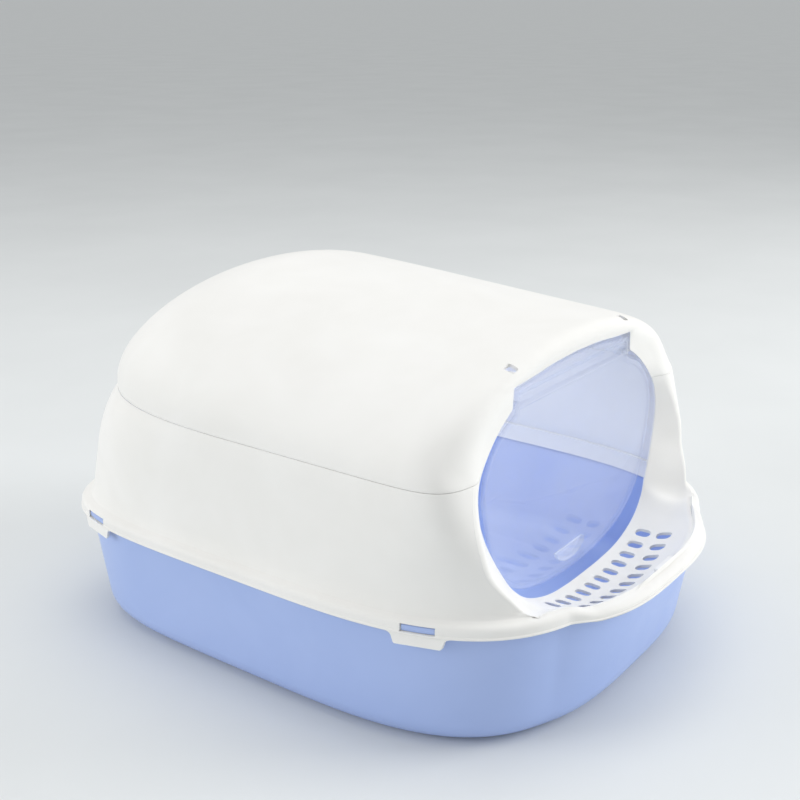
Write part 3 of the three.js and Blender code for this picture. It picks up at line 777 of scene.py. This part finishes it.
def flange():
    """The skirt's lower edge that hangs inside the tray."""
    rows = [skirt_row(z, 120)[5:-5] for z in (101.5, 104, 108, 112, 116, 118.5)]
    rows_out = [moved_in(row, FLANGE_INSET) for row in rows]
    rows_in = [moved_in(moved_in(row, WALL - 2 * FLANGE_INSET), FLANGE_INSET) for row in rows]
    loop = rows_out + rows_in[::-1] + [rows_out[0]]
    sheet = Sheet().grid(loop)
    ends = [np.array([row[k] for row in rows_out + rows_in[::-1]]) for k in (0, -1)]
    for end in ends:
        sheet.fan(end, end.mean(axis=0))
    return make_object("flange", sheet.mesh("flange"))


# ---- tongues and their windows ----
def tongue(middle, side):
    """A tab that hangs from the rim, with swept roots and rounded corners."""
    half, root, foot = TONGUE["half"], TONGUE["root_half"], TONGUE["foot"]
    arc = np.linspace(0, math.pi / 2, 7)
    profile = [(-root - 3, RIM_BOTTOM + 1.5), (-root - 3, RIM_BOTTOM + 0.2)]
    profile += [(-root + 5.5 * math.sin(a), RIM_BOTTOM + 0.1 - 4.6 * (1 - math.cos(a))) for a in arc]
    profile += [(-half + 2 - 2 * math.cos(a), foot + 2 - 2 * math.sin(a)) for a in arc]
    left = np.array(profile)
    outline = np.vstack([left, left[::-1] * (-1, 1)])
    y = middle + outline[:, 0]
    n = len(outline)
    front = np.c_[rim_x(y, 0.35) * side, y, outline[:, 1]]
    back = np.c_[rim_x(y, WALL) * side, y, outline[:, 1]]
    mesh = bpy.data.meshes.new("tongue")
    faces = [tuple(range(n)), tuple(range(2 * n - 1, n - 1, -1))]
    faces += [(i, (i + 1) % n, n + (i + 1) % n, n + i) for i in range(n)]
    mesh.from_pydata((np.vstack([front, back]) * MM).tolist(), [], faces)
    bm = bmesh.new()
    bm.from_mesh(mesh)
    bmesh.ops.recalc_face_normals(bm, faces=bm.faces)
    bmesh.ops.triangulate(bm, faces=[f for f in bm.faces if len(f.verts) > 4])
    bmesh.ops.recalc_face_normals(bm, faces=bm.faces)
    bm.to_mesh(mesh)
    bm.free()
    return make_object("tongue", mesh)


def build_skirt():
    skirt = make_skirt()
    boolean(skirt, flange(), "UNION")
    for y in CATCH_Y:
        for side in (-1, 1):
            boolean(skirt, tongue(y, side), "UNION")
    for y in CATCH_Y:
        for side in (-1, 1):
            boolean(skirt, rim_block(y, side, **TONGUE_WINDOW), "DIFFERENCE")
    return skirt


# ---- dome with the upper half of the ring ----
DOME = dict(half=203.0, half_front=197.0, rear=243.0, rise=107.0, slope=0.08, slope_from=200.0)
WINDOW = dict(near=87.5, far=96.5, front=-183.0, back=-174.0, low=275.5, high=330.0)
ARCH, ARCH_POWER = 151, 2.05
REAR_START, REAR_POWER, SHOULDER_POWER = 115.0, 1.7, 3
LEAN_END_Y, TRANSITION = -100.0, 40.0
FOOT_BLEND, CREST_TURN = 42.0, 0.34


def arch_row(y, theta):
    """One section of the dome's outside at y, for arch angles theta."""
    if y > 0:
        t = max(0.0, (y - REAR_START) / (DOME["rear"] - REAR_START))
        side = max(0.0, 1 - min(1.0, y / DOME["rear"]) ** SHOULDER_POWER) ** (1 / SHOULDER_POWER)
        top = max(0.0, 1 - min(1.0, t) ** REAR_POWER) ** (1 / REAR_POWER)
    else:
        def ease(length, scale):
            t = min(1.0, max(0.0, (FACE_Y + length - y) / length))
            return lerp(scale, 1, math.sqrt(1 - t * t))
        side, top = ease(38.0, 0.83), ease(12.0, 0.965)
    taper = (REAR_START - y) / (REAR_START - FACE_Y)
    half = lerp(DOME["half"], DOME["half_front"], taper) * side
    rise = (DOME["rise"] + DOME["slope"] * (y - DOME["slope_from"])) * top
    c, s = np.cos(theta), np.sin(theta)
    reach = (np.abs(c) ** ARCH_POWER + np.abs(s) ** ARCH_POWER) ** (-1 / ARCH_POWER)
    z = CREASE + rise * reach * s
    lean = (face_y(z) - FACE_Y) if y < LEAN_END_Y else 0 * z
    share = (LEAN_END_Y - y) / (LEAN_END_Y - FACE_Y)
    return np.stack([half * reach * c, y + lean * share, z], axis=-1)


def bezier(a, control, b, t):
    return (1 - t) ** 2 * a + 2 * t * (1 - t) * control + t * t * b


def cubic(a, b, c, d, t):
    return (1 - t) ** 3 * a + 3 * t * (1 - t) ** 2 * b + 3 * t * t * (1 - t) * c + t**3 * d


def crest_start(inner, edge):
    """The share of the band's width at which its rounded crest begins."""
    width = np.linalg.norm(edge - inner, axis=1)
    return np.clip(1 - crest_radius(edge[:, 2]) / width, 0.3, 0.96)


def crest_rows(turn_share, beyond, leaving):
    """Rows from the band over the rounded crest to the points beyond it."""
    turn = turn_share * RING_LIMIT
    inner, edge = at_turn(OPENING, turn_share * OPENING_LIMIT), at_turn(RING, turn)
    share = crest_start(inner, edge)
    last = band(inner, edge, turn, share)
    rows = [band(inner, edge, turn, share * v) for v in np.linspace(0, 1, 9)[:-1]]
    reach = 2 / 3 * np.linalg.norm(beyond - edge, axis=1)[:, None]
    rows += [cubic(last, lerp(last, edge, 2 / 3), beyond + leaving * reach, beyond, t)
             for t in np.linspace(0, 1, 13)]
    return rows


def foot_weight(z):
    """1 at the crease, easing to 0 some way up the dome."""
    return np.clip(1 - (z - CREASE) / FOOT_BLEND, 0, 1) ** 2


def skirt_half(y):
    """Half width of the skirt's top outline at y."""
    half, front, rear, fp, rp = skirt_level(CREASE)
    reach, power = (front, fp) if y < 0 else (rear, rp)
    return half * max(0.0, 1 - min(1.0, abs(y) / reach) ** power) ** (1 / power)


def seam_line():
    """The skirt's top outline from the crest's foot to the end of the transition."""
    half, front, rear, fp, rp = skirt_level(CREASE)
    end = float(arch_row(FACE_Y + TRANSITION, np.array([0.0]))[0, 1])
    line = plan(np.linspace(-math.pi / 2, 0, 3000), half, front, rear, fp, rp, CREASE)
    line = line[(line[:, 0] >= CREST_FOOT[0, 0] - 0.01) & (line[:, 1] <= end)]
    return np.vstack([line, [[skirt_half(end), end, CREASE]]])


def meet_skirt(row):
    """Widens a section of the dome at its feet so that it stands on the skirt."""
    spare = skirt_half(float(row[0, 1])) - row[0, 0]
    moved = row.copy()
    moved[:, 0] += foot_weight(row[:, 2]) * spare * np.sign(row[:, 0])
    return moved


def build_dome():
    share = np.linspace(1, -1, ARCH)
    # arch angle of the dome's front section in line with each ring point
    theta = np.linspace(0, math.pi, 2001)
    front = arch_row(FACE_Y, theta)
    own = np.arctan2(front[:, 0], front[:, 2] - RING_CENTRE)
    limit = own[0]
    arch = np.interp(-share * limit, -own, theta)
    arch[0], arch[-1] = 0.0, math.pi
    edge = at_turn(RING, share * RING_LIMIT)
    radius = crest_radius(edge[:, 2])
    seam = seam_line()
    seam_length = along(seam)[-1]

    def front_row(k):
        """Points between the crest's foot (k = 0) and the transition's end (k = 1)."""
        ease = 1 - np.cos(np.broadcast_to(k, (ARCH,)) * math.pi / 2)
        row = np.array([arch_row(FACE_Y + lerp(radius[i], TRANSITION, ease[i]), arch[i:i + 1])[0]
                        for i in range(ARCH)])
        foot = np.array([arch_row(FACE_Y + lerp(radius[0], TRANSITION, e), arch[:1])[0]
                         for e in ease])
        shift = resample(seam, seam_length * ease) - foot
        weight = foot_weight(row[:, 2])[:, None]
        return row + weight * shift * np.c_[np.sign(row[:, 0]), np.ones(ARCH), np.zeros(ARCH)]

    joint = CREST_TURN * (1 - foot_weight(edge[:, 2]))
    beyond = front_row(joint)
    leaving = unit(beyond - front_row(joint + 0.03))
    rows = crest_rows(share, beyond, leaving)
    rest = [front_row(joint + (1 - joint) * k) for k in np.linspace(0, 1, 15)[1:]]
    even = np.linspace(0, math.pi, ARCH)
    for y in np.linspace(FACE_Y + TRANSITION + 8, 0, 14):
        mixed = lerp(arch, even, smoothstep(y, FACE_Y + TRANSITION, 0))
        rest.append(meet_skirt(arch_row(y, mixed)))
    for a in np.linspace(0, math.pi / 2, 44)[1:]:
        rest.append(meet_skirt(arch_row(DOME["rear"] * min(1.0, math.sin(a) ** 0.8), even)))
    grid = np.array(rows + rest)
    # the sheet's two side edges stand on the crease
    for column in (0, -1):
        grid[:, column, 2] = np.maximum(grid[:, column, 2], CREASE)
    sheet = Sheet().grid(grid)
    mesh = facing_out(sheet.mesh("hood_dome_shell", closed=False), Vector((0, 0, 0.2)))
    dome = thicken(make_object("hood_dome_shell", mesh))
    soften(dome, 0.8, 55, 3, lambda p: p.z > CREASE + 2 and p.y < -170)
    soften(dome, 0.4, 55, 2, lambda p: p.z < CREASE + 0.6 and p.y > -196)
    for side in (-1, 1):
        x0, x1 = sorted((WINDOW["near"] * side, WINDOW["far"] * side))
        ring = rectangle(x0, x1, WINDOW["front"], WINDOW["back"])
        cutter = make_object("window", prism(ring, WINDOW["low"], WINDOW["high"]))
        boolean(dome, soften(cutter, 1.2, 40, 3), "DIFFERENCE")
    return dome


# ---- entry step with the lower half of the ring ----
STEP_AROUND = 241
SLOT = dict(radius=4.5, straight=2.75, low=60.0, high=135.0)
SLOTS_A_ROW, SLOT_ROW_HALF = 11, 82.0
# Each row of slots: its y in the middle, and how far its ends lie further back.
SLOT_ROWS = ((-218.5, 1.5), (-242.5, 5.0))


def slot_cutter(x, y):
    """A drain slot: a rectangle with round ends, longer from front to back."""
    r, straight = SLOT["radius"], SLOT["straight"]
    arc = np.linspace(0, math.pi, 11)
    top = [(x + r * math.cos(a), y + straight + r * math.sin(a)) for a in arc]
    low = [(x - r * math.cos(a), y - straight - r * math.sin(a)) for a in arc]
    return make_object("slot", prism(top + low, SLOT["low"], SLOT["high"]))


def build_step():
    turn = np.linspace(RING_LIMIT, 2 * math.pi - RING_LIMIT, STEP_AROUND)
    opening_turn = np.linspace(OPENING_LIMIT, 2 * math.pi - OPENING_LIMIT, STEP_AROUND)

    def mirrored(line, turn):
        return at_turn(line, np.where(turn <= math.pi, turn, turn - 2 * math.pi))

    edge, inner = mirrored(RING, turn), mirrored(OPENING, opening_turn)
    share = crest_start(inner, edge)
    # each crest point has its partner on the crest's foot, found by place along the ring
    low_ring = RING[RING[:, 2] <= CREASE + 0.5]
    place = along(low_ring)
    at = np.interp(np.minimum(turn, 2 * math.pi - turn), rising(turns_of(low_ring)), place)
    beyond = np.stack([np.interp(at, place, CREST_FOOT[:, k]) for k in range(3)], axis=1)
    beyond[:, 0] *= np.where(turn <= math.pi, 1, -1)
    rows = [band(inner, edge, turn, share * v) for v in np.linspace(0, 1, 12)[:-1]]
    last = band(inner, edge, turn, share)
    rows += [bezier(last, edge, beyond, t) for t in np.linspace(0, 1, 8)]
    grid = np.array(rows)
    grid[:, 0, 2] = grid[:, -1, 2] = CREASE - 0.3
    mesh = facing_out(Sheet().grid(grid).mesh("entry_step_shell", closed=False), Vector())
    step = make_object("entry_step_shell", mesh)
    if sum(p.area * (p.normal.z - p.normal.y) for p in mesh.polygons) < 0:
        mesh.flip_normals()
    thicken(step)
    soften(step, 0.8, 55, 3, opening_edge)
    cutters = []
    for y, bend in SLOT_ROWS:
        for t in np.linspace(-1, 1, SLOTS_A_ROW):
            cutters.append(slot_cutter(SLOT_ROW_HALF * t, y + bend * t * t))
    boolean(step, join(cutters, "slots"), "DIFFERENCE")
    return step


def opening_edge(p):
    """True near the entrance's inner edge."""
    x = abs(p.x)
    gaps = np.hypot(OPENING[:, 0] - x, OPENING[:, 2] - p.z)
    return float(gaps.min()) < 4 and p.z < CREASE - 1


# ---- flap ----
FLAP = dict(y=-184.6, lean=0.03, thick=3.0, panel=1.6)
RIDGE = dict(half=92.3, radius=1.9, tall=1.35, sink=0.7)
PIN = dict(inner=84.0, outer=108.0)
PULL = dict(half=24.0, top=106.5, drop=12.0, middle=102.0)


def flap_outline():
    """The flap's outline (x, z): narrow above the pins, then wide, then round below."""
    top = catmull([(0, 278.5), (37, 277.2), (68, 274), (93.5, 271.5)], 14)
    side = np.array([[93.5, z] for z in np.linspace(270, 254, 9)])
    low = catmull([(93.5, 252.5), (114, 243.5), (129, 230.5), (138.5, 216), (142, 200),
                   (138.8, 179), (133, 157), (125, 135.5), (113, 119), (92, 104), (60, 94),
                   (22, 88.8), (0, 88)], 14)
    half = np.vstack([top, side, low])
    return np.vstack([half, half[::-1][1:-1] * (-1, 1)])


def offset_outline(outline, by):
    """A closed outline moved inwards by a distance."""
    before = outline - np.roll(outline, 1, axis=0)
    after = np.roll(outline, -1, axis=0) - outline
    n0 = unit(np.c_[before[:, 1], -before[:, 0]])
    n1 = unit(np.c_[after[:, 1], -after[:, 0]])
    mid = unit(n0 + n1)
    stretch = np.clip(1 / np.maximum((mid * n1).sum(axis=1), 0.3), 1, 1.5)
    centre = outline.mean(axis=0)
    sign = np.sign(((outline - centre) * mid).sum())
    return outline - sign * mid * (by * stretch)[:, None]


def in_flap(xz, depth):
    """Points of the flap's plane, at a depth behind its middle."""
    xz = np.asarray(xz, float)
    y = FLAP["y"] + depth - FLAP["lean"] * (HINGE_Z - xz[:, 1])
    return np.c_[xz[:, 0], y, xz[:, 1]]


def build_flap():
    outline = flap_outline()
    h = FLAP["thick"] / 2
    face = h - FLAP["panel"]
    # inset and depth, from the panel's front over the raised border and the edge to its back
    profile = [(5.6, face), (5.0, face - 0.1), (4.6, face - 0.5), (4.3, -h + 0.4),
               (3.9, -h + 0.1), (3.3, -h), (1.2, -h), (0.5, -h + 0.2), (0.12, -h + 0.6),
               (0.0, -h + 1.0), (0.0, h - 0.9), (0.15, h - 0.4), (0.6, h - 0.08), (1.2, h)]
    rows = [in_flap(offset_outline(outline, by), depth) for by, depth in profile]
    sheet = Sheet().grid(rows, wrap=True)
    body = make_object("flap", sheet.mesh("flap", closed=False))
    bm = bmesh.new()
    bm.from_mesh(body.data)
    loops = [e for e in bm.edges if len(e.link_faces) == 1]
    bmesh.ops.holes_fill(bm, edges=loops, sides=0)
    bmesh.ops.recalc_face_normals(bm, faces=bm.faces)
    big = [f for f in bm.faces if len(f.verts) > 8]
    bmesh.ops.triangulate(bm, faces=big)
    bm.to_mesh(body.data)
    bm.free()
    # ridge at the hinge line, slightly bowed towards its ends
    sink = RIDGE["sink"]
    path = [(x, FLAP["y"] - h + sink + sink * (abs(x) / 92) ** 6, HINGE_Z)
            for x in np.linspace(-RIDGE["half"], RIDGE["half"], 40)]
    boolean(body, bar(path, RIDGE["radius"], 14, RIDGE["tall"]), "UNION")
    for side in (-1, 1):
        path = [(side * x, HINGE_Y, HINGE_Z) for x in np.linspace(PIN["inner"], PIN["outer"], 6)]
        boolean(body, bar(path, PIN_R, 24, 1.0), "UNION")
        web = box_object((84.5, FLAP["y"] + 0.2, HINGE_Z - 2.0), (92, HINGE_Y, HINGE_Z + 2.0), side)
        boolean(body, web, "UNION")
    boolean(body, pull_ledge(), "UNION")
    return body


def frost_pull(obj):
    """Gives the finger pull behind the panel a frosted finish."""
    obj.data.materials.append(frosted_plastic)
    for face in obj.data.polygons:
        x, y, z = face.center / MM
        behind = y - (FLAP["y"] - FLAP["lean"] * (HINGE_Z - z))
        if abs(x) < PULL["half"] + 2 and z < PULL["top"] + 1.5 and behind > FLAP["thick"] / 2 + 0.2:
            face.material_index = 1


def bar(path, radius, sides, tall):
    """A bar along a path that runs in x, with domed ends; tall stretches it in height."""
    path = np.array(path, float)
    rows = []
    turn = np.linspace(0, 2 * math.pi, sides, endpoint=False)
    way = np.sign(path[-1, 0] - path[0, 0])
    scale = [0.35, 0.75, 1.0] + [1.0] * (len(path) - 2) + [1.0, 0.75, 0.35]
    near, far = np.array([0.25 * way, 0, 0]), np.array([0.7 * way, 0, 0])
    centres = np.vstack([path[0], path[0] + near, path[0] + far, path[1:-1],
                         path[-1] - far, path[-1] - near, path[-1]])
    for centre, grow in zip(centres, scale):
        rows.append(np.c_[np.full(sides, centre[0]), centre[1] + radius * grow * np.cos(turn),
                          centre[2] + radius * tall * grow * np.sin(turn)])
    sheet = Sheet().grid(rows, wrap=True)
    sheet.fan(rows[0], centres[0]).fan(rows[-1], centres[-1])
    return make_object("bar", sheet.mesh("bar"))


def box_object(low, high, side):
    """A box with eased edges, mirrored to one side."""
    ring = rectangle(*sorted((low[0] * side, high[0] * side)), low[1], high[1])
    return soften(make_object("box", prism(ring, low[2], high[2])), 0.4, 40, 2)


def pull_ledge():
    """The finger pull behind the panel: a rounded ledge in the shape of a half moon."""
    a = np.linspace(math.pi, 2 * math.pi, 33)
    curve = np.c_[PULL["half"] * np.cos(a), PULL["top"] + PULL["drop"] * np.sin(a)]
    away = curve - (0, PULL["middle"])
    size = np.linalg.norm(away, axis=1, keepdims=True)
    h = FLAP["thick"] / 2
    rows = []
    for shrink, depth in ((0.0, h - 0.8), (0.0, h + 2.6), (0.5, h + 3.4), (1.3, h + 3.9), (2.2, h + 4.0)):
        ring = away * np.clip(1 - shrink / size, 0, 1) + (0, PULL["middle"])
        rows.append(in_flap(ring, depth))
    sheet = Sheet().grid(rows, wrap=True)
    sheet.fan(rows[0], rows[0].mean(axis=0)).fan(rows[-1], rows[-1].mean(axis=0))
    return make_object("pull", sheet.mesh("pull"))


# ---- the pieces ----
tray = finish_piece(make_tray(), tray_plastic, "tray", "tray_plastic", "litter_tray")
skirt = finish_piece(build_skirt(), hood_plastic, "hood", "hood_plastic", "hood_skirt")
dome = finish_piece(build_dome(), hood_plastic, "hood", "hood_plastic", "hood_dome")
step = finish_piece(build_step(), hood_plastic, "hood", "hood_plastic", "entry_step")
flap = finish_piece(build_flap(), flap_plastic, "flap", "flap_plastic", "flap_door", angle=30)
frost_pull(flap)
for node in ("flap_bearing_left", "flap_bearing_right"):
    piece = frame["nodes"][node]
    piece.data.materials.clear()
    piece.data.materials.append(hood_plastic)

# ---- floor, light and camera ----
FLOOR_REACH = 400.0
floor_mesh = bpy.data.meshes.new("floor")
floor_corners = rectangle(-FLOOR_REACH, FLOOR_REACH, -FLOOR_REACH, FLOOR_REACH)
floor_mesh.from_pydata([(x, y, 0) for x, y in floor_corners], [], [(0, 1, 2, 3)])
floor = make_object("floor", floor_mesh)
floor_material, floor_tree, floor_shader = nodes_of("floor_paper")
floor_tree.links.new(ramp(floor_tree, noise(floor_tree, 3.0), (0.74, 0.76, 0.76, 1),
                          (0.77, 0.79, 0.79, 1)), floor_shader.inputs["Base Color"])
floor_shader.inputs["Roughness"].default_value = 0.8
floor_mesh.materials.append(floor_material)

world = bpy.data.worlds.new("studio")
bpy.context.scene.world = world
world.use_nodes = True
sky = world.node_tree.nodes["Background"]
sky.inputs["Color"].default_value = (0.975, 0.99, 1.0, 1)
sky.inputs["Strength"].default_value = 0.59


def area_light(name, place, target, size, power):
    """A rectangular light that lights the object but isn't mirrored in it; sizes in metres."""
    data = bpy.data.lights.new(name, "AREA")
    data.shape = "RECTANGLE"
    data.size, data.size_y = size
    data.energy = power
    lamp = bpy.data.objects.new(name, data)
    bpy.context.scene.collection.objects.link(lamp)
    lamp.location = place
    lamp.rotation_euler = (Vector(target) - Vector(place)).to_track_quat("-Z", "Y").to_euler()
    lamp.visible_glossy = False
    return lamp


area_light("key", (2.1, -2.3, 1.2), (0, 0, 0.12), (1.6, 1.4), 55)
area_light("front", (0.4, -2.6, 1.7), (0, 0, 0.15), (1.6, 1.2), 2.5)
area_light("rear", (-2.3, 2.1, 1.1), (0, 0, 0.12), (1.6, 1.3), 35)
area_light("top", (0.1, 0.1, 2.3), (0, 0, 0.1), (1.8, 1.8), 16)
# a weak light under the dome, which brings up the inside behind the flap
cabin_light = area_light("cabin", (0, 0.02, 0.272), (0, 0.02, 0), (0.15, 0.24), 0.5)
cabin_light.visible_camera = False
cabin_light.parent = frame["bodies"]["hood"]

# The camera's place from the origin, in metres along its own axes.
BACK_BY, RIGHT_BY, UP_BY = 1.14541, 0.03665, 0.14887
AZIMUTH, ELEVATION = math.radians(-54.77), math.radians(20.96)
back = Vector((math.sin(AZIMUTH) * math.cos(ELEVATION), -math.cos(AZIMUTH) * math.cos(ELEVATION),
               math.sin(ELEVATION)))
right = Vector((math.cos(AZIMUTH), math.sin(AZIMUTH), 0))
up = back.cross(right)
camera_data = bpy.data.cameras.new("camera")
camera = bpy.data.objects.new("camera", camera_data)
bpy.context.scene.collection.objects.link(camera)
place = back * BACK_BY + right * RIGHT_BY + up * UP_BY
camera.matrix_world = Matrix.Translation(place) @ Matrix((right, up, back)).transposed().to_4x4()
camera_data.sensor_width = 36.0
camera_data.lens = 52.33725
camera_data.shift_x, camera_data.shift_y = -0.045325, 0.053725
camera_data.clip_end = 5 * FLOOR_REACH
bpy.context.scene.camera = camera
bpy.context.scene.view_settings.view_transform = "Standard"
